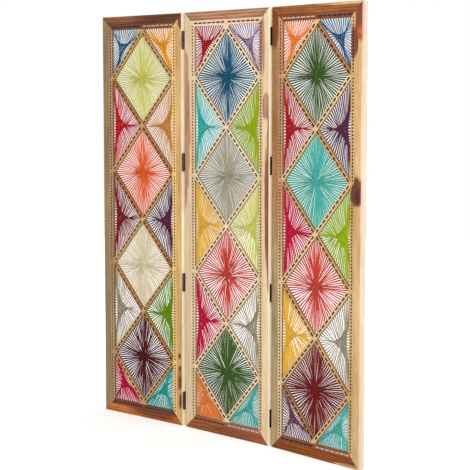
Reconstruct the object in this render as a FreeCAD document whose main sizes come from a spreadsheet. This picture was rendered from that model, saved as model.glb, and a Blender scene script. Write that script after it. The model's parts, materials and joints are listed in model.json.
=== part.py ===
import FreeCAD, Part
import math
import os

import Sketcher
from FreeCAD import Placement, Rotation, Vector

# A folding screen of three panels. Each panel is a mitred frame with thin drilled laths inside it
# and a diamond lattice of drilled strips, half-lapped at their crossings. Yarn is strung across
# every cell on the back of the lattice. Two rows of butt hinges join the panels: the left row
# has its barrels at the front and the right row at the back, so the panels fold like a zigzag.
#
# A panel has its own frame: x across, y from front to back, z up, with the middle of its
# foot at the origin. The front of the screen faces -Y.

# Driving sizes, in millimetres, counts and degrees
SIZES = {
    # panels
    "panel_height": 1800,
    "panel_width": 500,
    "panel_thickness": 30,
    "panel_gap": 18,
    "left_fold_degrees": 2.5,
    "right_fold_degrees": 4,
    # mitred outer frame and the loose tongues in its corners
    "member_width": 36,
    "edge_radius": 2.5,
    "tongue_width": 20,
    "tongue_length": 16,
    "tongue_thickness": 4,
    "tongue_clearance": 0.1,
    # laths and lattice strips
    "lath_width": 24,
    "slat_thickness": 10,
    "slat_recess": 2,
    "strip_width": 20,
    "crossing_inset": 10,
    "diamond_count": 4,
    "hole_diameter": 3.6,
    "hole_pitch": 13.4,
    # yarn
    "yarn_diameter": 3,
    "yarn_end_gap": 0.5,
    # hinges
    "hinges_per_seam": 4,
    "hinge_end_distance": 115,
    "hinge_length": 75,
    "barrel_diameter": 10,
    "axis_offset": 1,
    "knuckle_count": 5,
    "knuckle_gap": 0.4,
    "leaf_thickness": 2,
    "leaf_reach": 24,
    "pin_diameter": 4,
    "pin_clearance": 0.05,
    "pin_cap_diameter": 6,
    "pin_cap_thickness": 1.5,
    # screws
    "screws_per_leaf": 3,
    "screw_spacing": 25,
    "screw_row_depth": 14,
    "screw_diameter": 3.5,
    "screw_head_diameter": 7,
    "screw_length": 25,
    "screw_tip_length": 5,
    "screw_clearance": 0.05,
    "screw_slot_width": 0.9,
    "screw_slot_depth": 0.7,
    # how far every cutting tool runs past what it cuts
    "cut_overrun": 1,
}

# How deep the notches between two neighbouring threads run, as a share of the thread's length
DIAMOND_NOTCH_SHARE = 0.5
TRIANGLE_NOTCH_SHARE = 0.25

doc = FreeCAD.newDocument("folding_screen")
sheet = doc.addObject("Spreadsheet::Sheet", "Sizes")
for row_number, (alias, value) in enumerate(SIZES.items(), start=1):
    sheet.set(f"A{row_number}", alias)
    sheet.set(f"B{row_number}", str(value))
    sheet.setAlias(f"B{row_number}", alias)
doc.recompute()

Z_AXIS = Vector(0, 0, 1)
ORIGIN = Vector(0, 0, 0)


def size(alias):
    """Value of one named size."""
    return float(sheet.get(alias))


def count(alias):
    """Value of one named count."""
    return int(round(sheet.get(alias)))


def bind(obj, **expressions):
    """Bind properties of an object to the sheet."""
    for name, expression in expressions.items():
        obj.setExpression(name, expression)
    return obj


# Places that several pieces share

HEIGHT = size("panel_height")
HALF_WIDTH = size("panel_width") / 2
HALF_THICKNESS = size("panel_thickness") / 2
FRAME_WIDTH = size("member_width") + size("lath_width")

# The opening that the lattice fills, and the rows of holes along the middle of the laths
OPENING_X = HALF_WIDTH - FRAME_WIDTH
OPENING_TOP = HEIGHT - FRAME_WIDTH
ROW_X = OPENING_X + size("lath_width") / 2
ROW_TOP = OPENING_TOP + size("lath_width") / 2
ROW_BOTTOM = HEIGHT - ROW_TOP
SLAT_FRONT = -HALF_THICKNESS + size("slat_recess")
SLAT_BACK = SLAT_FRONT + size("slat_thickness")

# The lattice: crossings on the panel's middle line and joints beside the laths
DIAMONDS = count("diamond_count")
TOP_CROSSING = OPENING_TOP - size("crossing_inset")
DIAMOND_HEIGHT = (2 * TOP_CROSSING - HEIGHT) / DIAMONDS
CROSSINGS = [TOP_CROSSING - k * DIAMOND_HEIGHT for k in range(DIAMONDS + 1)]
JOINTS = [z - DIAMOND_HEIGHT / 2 for z in CROSSINGS[:-1]]
STRIP_ANGLE = math.atan2(DIAMOND_HEIGHT / 2, OPENING_X)
STRIP_HALF_ACROSS = size("strip_width") / 2 / math.sin(STRIP_ANGLE)
STRIP_HALF_UP = size("strip_width") / 2 / math.cos(STRIP_ANGLE)

# Hinges
AXIS_X = HALF_WIDTH + size("panel_gap") / 2
AXIS_Y = HALF_THICKNESS + size("axis_offset")
BARREL_RADIUS = size("barrel_diameter") / 2
LEAF_INNER_X = size("panel_gap") / 2 - size("leaf_thickness")
HINGE_COUNT = count("hinges_per_seam")
HINGE_STEP = (HEIGHT - 2 * size("hinge_end_distance")) / (HINGE_COUNT - 1)
HINGE_HEIGHTS = [size("hinge_end_distance") + k * HINGE_STEP for k in range(HINGE_COUNT)]
SCREW_COUNT = count("screws_per_leaf")
SCREW_HEIGHTS = [(k - (SCREW_COUNT - 1) / 2) * size("screw_spacing") for k in range(SCREW_COUNT)]


# Where the panels and hinges stand

def turned_about(axis_point, degrees, base):
    """Placement moved to a base point and then turned about an upright axis."""
    return Placement(ORIGIN, Rotation(Z_AXIS, degrees), axis_point).multiply(Placement(base, Rotation()))


LEFT_AXIS = Vector(-AXIS_X, -AXIS_Y, 0)
RIGHT_AXIS = Vector(AXIS_X, AXIS_Y, 0)
PANEL_STEP = size("panel_width") + size("panel_gap")
LEFT_FOLD = size("left_fold_degrees")
RIGHT_FOLD = size("right_fold_degrees")
STANDING = {
    "left": turned_about(LEFT_AXIS, LEFT_FOLD, Vector(-PANEL_STEP, 0, 0)),
    "middle": Placement(),
    "right": turned_about(RIGHT_AXIS, -RIGHT_FOLD, Vector(PANEL_STEP, 0, 0)),
}


def floor_shift():
    """Move that brings the middle of the whole screen's floor rectangle to the origin."""
    corners = [
        place.multVec(Vector(x, y, 0))
        for place in STANDING.values()
        for x in (-HALF_WIDTH, HALF_WIDTH)
        for y in (-HALF_THICKNESS, HALF_THICKNESS)
    ]
    barrel = Vector(0, BARREL_RADIUS, 0)
    corners += [LEFT_AXIS - barrel, RIGHT_AXIS + barrel]
    across = [corner.x for corner in corners]
    deep = [corner.y for corner in corners]
    return Vector(-(min(across) + max(across)) / 2, -(min(deep) + max(deep)) / 2, 0)


SHIFT = Placement(floor_shift(), Rotation())
PANELS = {panel: SHIFT.multiply(place) for panel, place in STANDING.items()}
nodes = []


def node(obj, name, place):
    """Give a finished sub-part its name and its place."""
    obj.Label = name
    obj.Placement = place
    nodes.append(obj)
    return obj


# Mitred frame: stiles and rails

MEMBER_TURNS = {
    "left_stile": Rotation(Z_AXIS, -90),
    "right_stile": Rotation(Z_AXIS, 90),
    "top_rail": Rotation(Vector(0, -1, 0), Vector(0, 0, -1), Vector(1, 0, 0), "XYZ"),
    "bottom_rail": Rotation(Vector(0, 1, 0), Vector(0, 0, 1), Vector(1, 0, 0), "XYZ"),
}
MEMBER_BASES = {
    "left_stile": Vector(-HALF_WIDTH, 0, 0),
    "right_stile": Vector(HALF_WIDTH, 0, 0),
    "top_rail": Vector(-HALF_WIDTH, 0, HEIGHT),
    "bottom_rail": Vector(-HALF_WIDTH, 0, 0),
}
# The stiles that carry hinges, and the side of the member's middle that their screws lie on
HINGED_STILES = {
    ("left", "right_stile"): -1,
    ("middle", "left_stile"): 1,
    ("middle", "right_stile"): 1,
    ("right", "left_stile"): -1,
}


def member_blank(name, length):
    """Mitred bar: thickness along x, outer face at y = 0, length along z, outer edges rounded."""
    bar = bind(
        doc.addObject("Part::Wedge", name + "_bar"),
        Xmin="-Sizes.panel_thickness / 2",
        Xmax="Sizes.panel_thickness / 2",
        X2min="-Sizes.panel_thickness / 2",
        X2max="Sizes.panel_thickness / 2",
        Ymin="0",
        Ymax="Sizes.member_width",
        Zmin="0",
        Zmax=length,
        Z2min="Sizes.member_width",
        Z2max=length + " - Sizes.member_width",
    )
    doc.recompute()
    radius = size("edge_radius")
    rounded = doc.addObject("Part::Fillet", name + "_rounded")
    rounded.Base = bar
    rounded.Edges = [
        (number, radius, radius)
        for number, edge in enumerate(bar.Shape.Edges, start=1)
        if outer_long_edge(edge)
    ]
    return rounded


def outer_long_edge(edge):
    """Tell whether a bar's edge runs along its outer face from end to end."""
    first, last = edge.Vertexes[0].Point, edge.Vertexes[-1].Point
    tolerance = edge.Vertexes[0].Tolerance
    on_outer_face = abs(first.y) <= tolerance and abs(last.y) <= tolerance
    return on_outer_face and abs(first.x - last.x) <= tolerance


def tongue_slot(name, along, degrees):
    """Slot for a loose tongue, centred on one end's mitre."""
    slot = bind(
        doc.addObject("Part::Box", name),
        Length="Sizes.tongue_thickness + 2 * Sizes.tongue_clearance",
        Width="Sizes.tongue_width + 2 * Sizes.tongue_clearance",
        Height="Sizes.tongue_length + 2 * Sizes.tongue_clearance",
    )
    turn = Rotation(Vector(1, 0, 0), degrees)
    half = Vector(
        size("tongue_thickness") / 2 + size("tongue_clearance"),
        size("tongue_width") / 2 + size("tongue_clearance"),
        size("tongue_length") / 2 + size("tongue_clearance"),
    )
    middle = Vector(0, size("member_width") / 2, along)
    slot.Placement = Placement(middle - turn.multVec(half), turn)
    return slot


def pilot_holes(name, side):
    """Holes for the hinge screws, drilled into a stile from its outer face."""
    depth = size("screw_length") - size("leaf_thickness") + size("cut_overrun")
    radius = size("screw_diameter") / 2 + size("screw_clearance")
    offset = side * (HALF_THICKNESS - size("screw_row_depth"))
    start = -size("cut_overrun")
    holes = doc.addObject("Part::Feature", name)
    holes.Shape = Part.Compound([
        Part.makeCylinder(radius, depth - start, Vector(offset, start, hinge + screw), Vector(0, 1, 0))
        for hinge in HINGE_HEIGHTS
        for screw in SCREW_HEIGHTS
    ])
    return holes


def frame_member(panel, member):
    """One stile or rail of a panel."""
    name = f"{panel}_panel_{member}"
    is_stile = member.endswith("stile")
    length = "Sizes.panel_height" if is_stile else "Sizes.panel_width"
    full_length = HEIGHT if is_stile else 2 * HALF_WIDTH
    corner = size("member_width") / 2
    tools = [
        tongue_slot(name + "_near_slot", corner, 45),
        tongue_slot(name + "_far_slot", full_length - corner, -45),
    ]
    if (panel, member) in HINGED_STILES:
        tools.append(pilot_holes(name + "_pilots", HINGED_STILES[panel, member]))
    cutter = doc.addObject("Part::Compound", name + "_cutter")
    cutter.Links = tools
    shaped = doc.addObject("Part::Cut", name)
    shaped.Base = member_blank(name, length)
    shaped.Tool = cutter
    place = Placement(MEMBER_BASES[member], MEMBER_TURNS[member])
    return node(shaped, name, PANELS[panel].multiply(place))


def corner_tongues(panel):
    """The four loose tongues of one panel's corners."""
    tongue = bind(
        doc.addObject("Part::Box", f"{panel}_panel_tongue"),
        Length="Sizes.tongue_length",
        Width="Sizes.tongue_thickness",
        Height="Sizes.tongue_width",
    )
    doc.recompute()
    half = Vector(size("tongue_length") / 2, size("tongue_thickness") / 2, size("tongue_width") / 2)
    inset = size("member_width") / 2
    shapes = []
    for x_side in (-1, 1):
        for z_side in (-1, 1):
            turn = Rotation(Vector(0, 1, 0), 45 * x_side * z_side)
            x = x_side * (HALF_WIDTH - inset)
            z = HEIGHT / 2 + z_side * (HEIGHT / 2 - inset)
            place = Placement(Vector(x, 0, z) - turn.multVec(half), turn)
            shapes.append(tongue.Shape.transformed(place.toMatrix()))
    group = doc.addObject("Part::Feature", f"{panel}_panel_corner_tongues")
    group.Shape = Part.Compound(shapes)
    return node(group, f"{panel}_panel_corner_tongues", PANELS[panel])


# Drilled laths and lattice strips, made once in a panel's own frame

def hole_row(start, end):
    """Evenly spaced hole places between two points of the panel's plane, ends left out."""
    gaps = max(2, round(math.dist(start, end) / size("hole_pitch")))
    return [
        tuple(a + (b - a) * step / gaps for a, b in zip(start, end))
        for step in range(1, gaps)
    ]


def closed_wire(points, depth):
    """Closed wire through points (x, z) of the panel's plane."""
    corners = [Vector(x, depth, z) for x, z in points]
    return Part.makePolygon(corners + corners[:1])


def extruded(name, face, thickness):
    """Solid made from a flat face, thickened towards the back."""
    profile = doc.addObject("Part::Feature", name + "_profile")
    profile.Shape = face
    solid = doc.addObject("Part::Extrusion", name)
    solid.Base = profile
    solid.DirMode = "Custom"
    solid.Dir = Vector(0, 1, 0)
    solid.Solid = True
    return bind(solid, LengthFwd=thickness)


def slat(name, outline, holes):
    """Flat slat with an outline and a row of holes, both in the panel's plane."""
    radius = size("hole_diameter") / 2
    rings = [
        Part.Wire(Part.makeCircle(radius, Vector(x, SLAT_FRONT, z), Vector(0, 1, 0)))
        for x, z in holes
    ]
    face = Part.makeFace([closed_wire(outline, SLAT_FRONT)] + rings, "Part::FaceMakerBullseye")
    return extruded(name, face, "Sizes.slat_thickness")


def mirrored_x(points):
    """Points mirrored left to right."""
    return [(-x, z) for x, z in points]


def turned_over(points):
    """Points turned by half a turn about the panel's middle."""
    return [(-x, HEIGHT - z) for x, z in points]


def flipped_z(points):
    """Points mirrored top to bottom."""
    return [(x, HEIGHT - z) for x, z in points]


def stile_row():
    """Holes of the left lath, from corner to corner in spans between the lattice joints."""
    stops = [ROW_TOP] + JOINTS + [ROW_BOTTOM]
    return [hole_row((-ROW_X, high), (-ROW_X, low)) for high, low in zip(stops, stops[1:])]


def rail_row():
    """Holes of the top lath's left half."""
    return hole_row((0, ROW_TOP), (-ROW_X, ROW_TOP))


def laths():
    """The four laths of a panel."""
    outer_x = OPENING_X + size("lath_width")
    outer_top = OPENING_TOP + size("lath_width")
    upright = [
        (-outer_x, HEIGHT - outer_top),
        (-outer_x, outer_top),
        (-OPENING_X, OPENING_TOP),
        (-OPENING_X, HEIGHT - OPENING_TOP),
    ]
    level = [
        (-outer_x, outer_top),
        (outer_x, outer_top),
        (OPENING_X, OPENING_TOP),
        (-OPENING_X, OPENING_TOP),
    ]
    upright_holes = [hole for span in stile_row() for hole in span]
    level_holes = rail_row() + mirrored_x(rail_row())
    return {
        "left_lath": slat("left_lath_master", upright, upright_holes),
        "right_lath": slat("right_lath_master", mirrored_x(upright), mirrored_x(upright_holes)),
        "top_lath": slat("top_lath_master", level, level_holes),
        "bottom_lath": slat("bottom_lath_master", flipped_z(level), flipped_z(level_holes)),
    }


def strip_end(joint):
    """Foot of a rising strip beside the left lath, mitred on the level of its joint."""
    return [
        (-OPENING_X + STRIP_HALF_ACROSS, joint),
        (-OPENING_X, joint),
        (-OPENING_X, joint + STRIP_HALF_UP),
    ]


def long_strip(crossing, joint):
    """Outline and holes of a rising strip from the left lath to the right one."""
    foot = strip_end(joint)
    head = [(-x, 2 * crossing - z) for x, z in foot]
    row = hole_row((-OPENING_X, joint), (0, crossing))
    return foot + head, row + [(-x, 2 * crossing - z) for x, z in row]


def short_strip():
    """Outline and holes of the rising strip from the left lath to the top one."""
    middle = size("crossing_inset") / math.tan(STRIP_ANGLE)
    head = [
        (middle - STRIP_HALF_ACROSS, OPENING_TOP),
        (middle + STRIP_HALF_ACROSS, OPENING_TOP),
    ]
    return strip_end(JOINTS[0]) + head, hole_row((-OPENING_X, JOINTS[0]), (0, CROSSINGS[0]))


def lap_tool(name, depth):
    """Cutter for the half-laps of one layer, starting at a depth."""
    overrun = size("cut_overrun")
    shapes = []
    for z in CROSSINGS:
        corners = [(0, z + STRIP_HALF_UP), (STRIP_HALF_ACROSS, z)]
        corners += [(0, z - STRIP_HALF_UP), (-STRIP_HALF_ACROSS, z)]
        face = Part.Face(closed_wire(corners, depth))
        shapes.append(face.extrude(Vector(0, size("slat_thickness") / 2 + overrun, 0)))
    tool = doc.addObject("Part::Feature", name)
    tool.Shape = Part.Compound(shapes)
    return tool


def lapped(name, outline_and_holes, tool):
    """Strip with the pockets of its half-laps."""
    outline, holes = outline_and_holes
    strip = doc.addObject("Part::Cut", name)
    strip.Base = slat(name + "_blank", outline, holes)
    strip.Tool = tool
    return strip


def strips():
    """The lattice strips of a panel, in four groups."""
    layer_middle = SLAT_FRONT + size("slat_thickness") / 2
    back_laps = lap_tool("back_lap_tool", layer_middle)
    front_laps = lap_tool("front_lap_tool", SLAT_FRONT - size("cut_overrun"))
    long_ones = [long_strip(z, joint) for z, joint in zip(CROSSINGS[1:], JOINTS[1:])]
    top_one = short_strip()
    short_ones = [top_one, tuple(turned_over(points) for points in top_one)]
    groups = {}
    for length_name, ones in (("long", long_ones), ("short", short_ones)):
        groups[f"rising_{length_name}_strips"] = [
            lapped(f"rising_{length_name}_{number}", one, back_laps)
            for number, one in enumerate(ones, start=1)
        ]
        groups[f"falling_{length_name}_strips"] = [
            lapped(f"falling_{length_name}_{number}", tuple(map(mirrored_x, one)), front_laps)
            for number, one in enumerate(ones, start=1)
        ]
    return groups


# Yarn webs: threads run from each hole to the one half way round the cell

def inward_row(row, inside):
    """Thread ends beside a row of holes, set off towards the inside of the cell."""
    (first_x, first_z), (last_x, last_z) = row[0], row[-1]
    length = math.dist(row[0], row[-1])
    normal = Vector(first_z - last_z, 0, last_x - first_x) / length
    towards = Vector(inside[0] - first_x, 0, inside[1] - first_z)
    reach = size("yarn_diameter") / 2 + size("yarn_end_gap")
    offset = normal * math.copysign(reach, normal.dot(towards))
    return [Vector(x, SLAT_BACK, z) + offset for x, z in row]


def meeting_share(first, first_way, second, second_way):
    """Share of the first line's length at which two lines of the panel's plane meet."""
    turn = first_way.x * second_way.z - first_way.z * second_way.x
    between = second - first
    if turn == 0:
        return math.inf
    return (between.x * second_way.z - between.z * second_way.x) / turn


def thread_sides(ends):
    """Both side lines of every thread: a point before it, one after it, its way and its half width."""
    total = len(ends)
    area = sum(last.x * end.z - end.x * last.z for last, end in zip(ends[-1:] + ends, ends))
    half_width = math.copysign(size("yarn_diameter") / 2, area)
    sides = []
    for number, end in enumerate(ends):
        way = ends[(number + total // 2) % total] - end
        across = Vector(way.z, 0, -way.x) * (half_width / way.Length)
        sides.append((end - across, end + across, way, across))
    return sides


def star_outline(ends, notch_share):
    """Outline of a web: one thin spike to each thread end, notched between neighbours.

    Neighbours that run side by side, closer than a thread's width, share one spike.
    """
    sides = thread_sides(ends)
    followers = sides[1:] + sides[:1]
    merged = [
        min((ahead[0] - side[1]).dot(across) for across in (side[3], ahead[3])) <= 0
        for side, ahead in zip(sides, followers)
    ]
    points = []
    for number, ((before, after, way, _), ahead) in enumerate(zip(sides, followers)):
        next_before, _, next_way, _ = ahead
        if not merged[number - 1]:
            points.append(before)
        if merged[number]:
            continue
        points.append(after)
        share = meeting_share(after, way, next_before, next_way)
        if 0 < share < notch_share:
            points.append(after + way * share)
        else:
            points += [after + way * notch_share, next_before + next_way * notch_share]
    return points


def web(name, rows, inside, notch_share):
    """Flat web of threads in one cell."""
    ends = [end for row in rows for end in inward_row(row, inside)]
    if len(ends) % 2:
        ends.pop()
    outline = star_outline(ends, notch_share)
    face = Part.Face(Part.makePolygon(outline + outline[:1]))
    return extruded(name, face, "Sizes.yarn_diameter")


def diamond_web(number):
    """Web of one diamond, counted from the top."""
    top, bottom = (0, CROSSINGS[number]), (0, CROSSINGS[number + 1])
    left, right = (-OPENING_X, JOINTS[number]), (OPENING_X, JOINTS[number])
    corners = [top, right, bottom, left, top]
    rows = [hole_row(first, last) for first, last in zip(corners, corners[1:])]
    return web(f"diamond_web_{number + 1}", rows, (0, JOINTS[number]), DIAMOND_NOTCH_SHARE)


def left_cells():
    """Rows of holes and an inner point for each cell on the panel's left side."""
    spans = stile_row()
    top_cell = [
        rail_row(),
        spans[0],
        hole_row((-OPENING_X, JOINTS[0]), (0, CROSSINGS[0])),
    ]
    cells = [(top_cell, (-OPENING_X / 2, OPENING_TOP - DIAMOND_HEIGHT / 4))]
    for number in range(1, DIAMONDS):
        upper, lower = (-OPENING_X, JOINTS[number - 1]), (-OPENING_X, JOINTS[number])
        crossing = (0, CROSSINGS[number])
        rows = [hole_row(crossing, upper), spans[number], hole_row(lower, crossing)]
        cells.append((rows, (-OPENING_X / 2, CROSSINGS[number])))
    rows, inside = cells[0]
    cells.append(([flipped_z(row)[::-1] for row in rows[::-1]], flipped_z([inside])[0]))
    return cells


def side_webs(side):
    """Webs of the triangular cells on one side of a panel."""
    webs = []
    for number, (rows, inside) in enumerate(left_cells(), start=1):
        if side == "right":
            rows = [mirrored_x(row) for row in rows]
            inside = mirrored_x([inside])[0]
        webs.append(web(f"{side}_web_{number}", rows, inside, TRIANGLE_NOTCH_SHARE))
    return webs


# Hinges, in a frame of their own: the pin's axis is z, the wing's leaf lies at -x and
# both leaves reach into the seam along +y

def knuckle_spans(first):
    """Lower end and length of every second knuckle, starting with the first or second one."""
    knuckles = count("knuckle_count")
    step = size("hinge_length") / knuckles
    gap = size("knuckle_gap")
    spans = []
    for number in range(first, knuckles, 2):
        low = -size("hinge_length") / 2 + number * step
        low_gap = gap / 2 if number > 0 else 0
        high_gap = gap / 2 if number < knuckles - 1 else 0
        spans.append((low + low_gap, step - low_gap - high_gap))
    return spans


def hinge_leaf(name, side, first_knuckle):
    """One leaf with its knuckles, bored for the pin and countersunk for the screws."""
    half_gap = size("panel_gap") / 2
    clear = math.sqrt(max(0, BARREL_RADIUS**2 - LEAF_INNER_X**2)) + size("knuckle_gap")
    near_x = min(side * half_gap, side * LEAF_INNER_X)
    plate = bind(
        doc.addObject("Part::Box", name + "_plate"),
        Length="Sizes.leaf_thickness",
        Height="Sizes.hinge_length",
    )
    plate.Width = size("axis_offset") + size("leaf_reach") - clear
    plate.Placement.Base = Vector(near_x, clear, -size("hinge_length") / 2)
    solids = [plate]
    for number, (low, length) in enumerate(knuckle_spans(first_knuckle), start=1):
        barrel = bind(
            doc.addObject("Part::Cylinder", f"{name}_barrel_{number}"),
            Radius="Sizes.barrel_diameter / 2",
        )
        barrel.Height = length
        barrel.Placement.Base = Vector(0, 0, low)
        neck = bind(doc.addObject("Part::Box", f"{name}_neck_{number}"), Length="Sizes.panel_gap / 2")
        neck.Width = clear + size("leaf_thickness")
        neck.Height = length
        neck.Placement.Base = Vector(min(side * half_gap, 0), 0, low)
        solids += [barrel, neck]
    blank = doc.addObject("Part::MultiFuse", name + "_blank")
    blank.Shapes = solids
    blank.Refine = True
    cutter = doc.addObject("Part::Compound", name + "_cutter")
    cutter.Links = [pin_bore(name)] + [
        screw_hole(f"{name}_screw_hole_{number}", side, z)
        for number, z in enumerate(SCREW_HEIGHTS, start=1)
    ]
    leaf = doc.addObject("Part::Cut", name)
    leaf.Base = blank
    leaf.Tool = cutter
    return leaf


def pin_bore(name):
    """Bore for the pin, through all knuckles of a leaf."""
    bore = bind(
        doc.addObject("Part::Cylinder", name + "_bore"),
        Radius="Sizes.pin_diameter / 2 + Sizes.pin_clearance",
        Height="Sizes.hinge_length + 2 * Sizes.cut_overrun",
    )
    bore.Placement.Base = Vector(0, 0, -size("hinge_length") / 2 - size("cut_overrun"))
    return bore


def screw_place(side, z):
    """Place of a screw in a leaf: its head flush with the leaf, its shank into the stile."""
    base = Vector(side * LEAF_INNER_X, size("axis_offset") + size("screw_row_depth"), z)
    return Placement(base, Rotation(Vector(0, 0, -1), Vector(side, 0, 0)))


def screw_hole(name, side, z):
    """Countersunk hole for one screw."""
    hole = bind(
        doc.addObject("Part::Cone", name + "_sink"),
        Radius1="Sizes.screw_head_diameter / 2 + Sizes.screw_clearance",
        Radius2="Sizes.screw_diameter / 2 + Sizes.screw_clearance",
        Height="(Sizes.screw_head_diameter - Sizes.screw_diameter) / 2",
    )
    bore = bind(
        doc.addObject("Part::Cylinder", name + "_bore"),
        Radius="Sizes.screw_diameter / 2 + Sizes.screw_clearance",
        Height="Sizes.leaf_thickness + Sizes.cut_overrun",
    )
    both = doc.addObject("Part::Fuse", name)
    both.Base = hole
    both.Tool = bore
    both.Placement = screw_place(side, z).multiply(Placement(ORIGIN, Rotation(Vector(1, 0, 0), 180)))
    return both


def revolved(name, profile):
    """Body turned about z from a closed profile of (radius, height) expressions."""
    body = doc.addObject("PartDesign::Body", name)
    sketch = body.newObject("Sketcher::SketchObject", name + "_profile")
    plane = [part for part in body.Origin.OriginFeatures if part.Role == "XZ_Plane"][0]
    sketch.AttachmentSupport = [(plane, "")]
    sketch.MapMode = "FlatFace"
    values = [tuple(sheet.evalExpression(text) for text in corner) for corner in profile]
    corners = [Vector(float(radius), float(height), 0) for radius, height in values]
    for number, corner in enumerate(corners):
        sketch.addGeometry(Part.LineSegment(corner, corners[(number + 1) % len(corners)]))
    for number in range(len(corners)):
        last = (number - 1) % len(corners)
        sketch.addConstraint(Sketcher.Constraint("Coincident", last, 2, number, 1))
    for number, (corner, texts) in enumerate(zip(corners, profile)):
        for kind, value, text in zip(("DistanceX", "DistanceY"), corner, texts):
            index = sketch.addConstraint(Sketcher.Constraint(kind, -1, 1, number, 1, value))
            sketch.setExpression(f"Constraints[{index}]", text)
    turning = body.newObject("PartDesign::Revolution", name + "_turning")
    turning.Profile = sketch
    turning.ReferenceAxis = (sketch, ["V_Axis"])
    turning.Angle = 360
    return body


def hinge_pin():
    """Hinge pin with a cap at each end, standing on the middle of its length."""
    half = "Sizes.hinge_length / 2"
    end = "(Sizes.hinge_length / 2 + Sizes.pin_cap_thickness)"
    pin, cap = "Sizes.pin_diameter / 2", "Sizes.pin_cap_diameter / 2"
    return revolved("hinge_pin", [
        ("0", "-" + end),
        (cap, "-" + end),
        (cap, "-" + half),
        (pin, "-" + half),
        (pin, half),
        (cap, half),
        (cap, end),
        ("0", end),
    ])


def countersunk_screw():
    """Wood screw: its head's face at z = 0, its tip below."""
    head, shank = "Sizes.screw_head_diameter / 2", "Sizes.screw_diameter / 2"
    body = revolved("countersunk_screw", [
        ("0", "0"),
        (head, "0"),
        (shank, "-(Sizes.screw_head_diameter - Sizes.screw_diameter) / 2"),
        (shank, "-Sizes.screw_length + Sizes.screw_tip_length"),
        ("0", "-Sizes.screw_length"),
    ])
    slot = bind(
        body.newObject("PartDesign::SubtractiveBox", "screw_slot"),
        Length="Sizes.screw_head_diameter",
        Width="Sizes.screw_slot_width",
        Height="Sizes.screw_slot_depth",
    )
    slot.Placement.Base = Vector(
        -size("screw_head_diameter") / 2,
        -size("screw_slot_width") / 2,
        -size("screw_slot_depth"),
    )
    return body


def seam_places(axis, degrees):
    """Places of one seam's hinges."""
    turn = Rotation(Z_AXIS, degrees)
    return [SHIFT.multiply(Placement(axis + Vector(0, 0, z), turn)) for z in HINGE_HEIGHTS]


def group(name, shape, places):
    """One node of equal solids at several places."""
    obj = doc.addObject("Part::Feature", name)
    obj.Shape = Part.Compound([shape.transformed(place.toMatrix()) for place in places])
    return node(obj, name, Placement())


# Build every panel

slats = {name: [lath] for name, lath in laths().items()}
slats.update(strips())
slats["diamond_webs"] = [diamond_web(number) for number in range(DIAMONDS)]
slats["left_webs"] = side_webs("left")
slats["right_webs"] = side_webs("right")

for panel, place in PANELS.items():
    for member in MEMBER_TURNS:
        frame_member(panel, member)
    corner_tongues(panel)
    for name, solids in slats.items():
        gathered = doc.addObject("Part::Compound", f"{panel}_panel_{name}")
        gathered.Links = solids
        node(gathered, f"{panel}_panel_{name}", place)

# Build both rows of hinges

leaves = {"wing": hinge_leaf("wing_leaf", -1, 1), "middle": hinge_leaf("middle_leaf", 1, 0)}
pin = hinge_pin()
screw = countersunk_screw()
doc.recompute()

SEAMS = {"left": (LEFT_AXIS, 0, LEFT_FOLD), "right": (RIGHT_AXIS, 180, -RIGHT_FOLD)}
for seam, (axis, degrees, fold) in SEAMS.items():
    middle_places = seam_places(axis, degrees)
    wing_places = seam_places(axis, degrees + fold)
    group(f"{seam}_seam_hinge_pins", pin.Shape, middle_places)
    for part, side, places in (("wing", -1, wing_places), ("middle", 1, middle_places)):
        group(f"{seam}_seam_{part}_leaves", leaves[part].Shape, places)
        screw_places = [
            hinge.multiply(screw_place(side, z)) for hinge in places for z in SCREW_HEIGHTS
        ]
        group(f"{seam}_seam_{part}_screws", screw.Shape, screw_places)

doc.recompute()

# Check and write

for obj in doc.Objects:
    if "Invalid" in obj.State or "Error" in obj.State:
        raise RuntimeError(f"{obj.Name} failed: {obj.State}")
for obj in nodes:
    if obj.Shape.isNull() or not obj.Shape.isValid() or not obj.Shape.Solids:
        raise RuntimeError(f"{obj.Label} has no valid solid")

os.makedirs("parts", exist_ok=True)
for obj in nodes:
    obj.Shape.exportStep(f"parts/{obj.Label}.step")

overall = Part.Compound([obj.Shape for obj in nodes]).BoundBox
print(f"{len(nodes)} nodes, {sum(len(obj.Shape.Solids) for obj in nodes)} solids")
print(f"box {overall.XMin:.2f} {overall.YMin:.2f} {overall.ZMin:.2f}")
print(f"to  {overall.XMax:.2f} {overall.YMax:.2f} {overall.ZMax:.2f}")
for seam, (axis, _, _) in SEAMS.items():
    at = SHIFT.multVec(axis)
    print(f"{seam} hinge axis at x {at.x:.4f}, y {at.y:.4f}")
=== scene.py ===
"""Looks of a folding screen: three wooden panels with yarn strung across a drilled diamond lattice."""

import json
import logging
import math
from dataclasses import dataclass
from enum import Enum

import bmesh
import bpy
from mathutils import Color, Matrix, Vector


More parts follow.
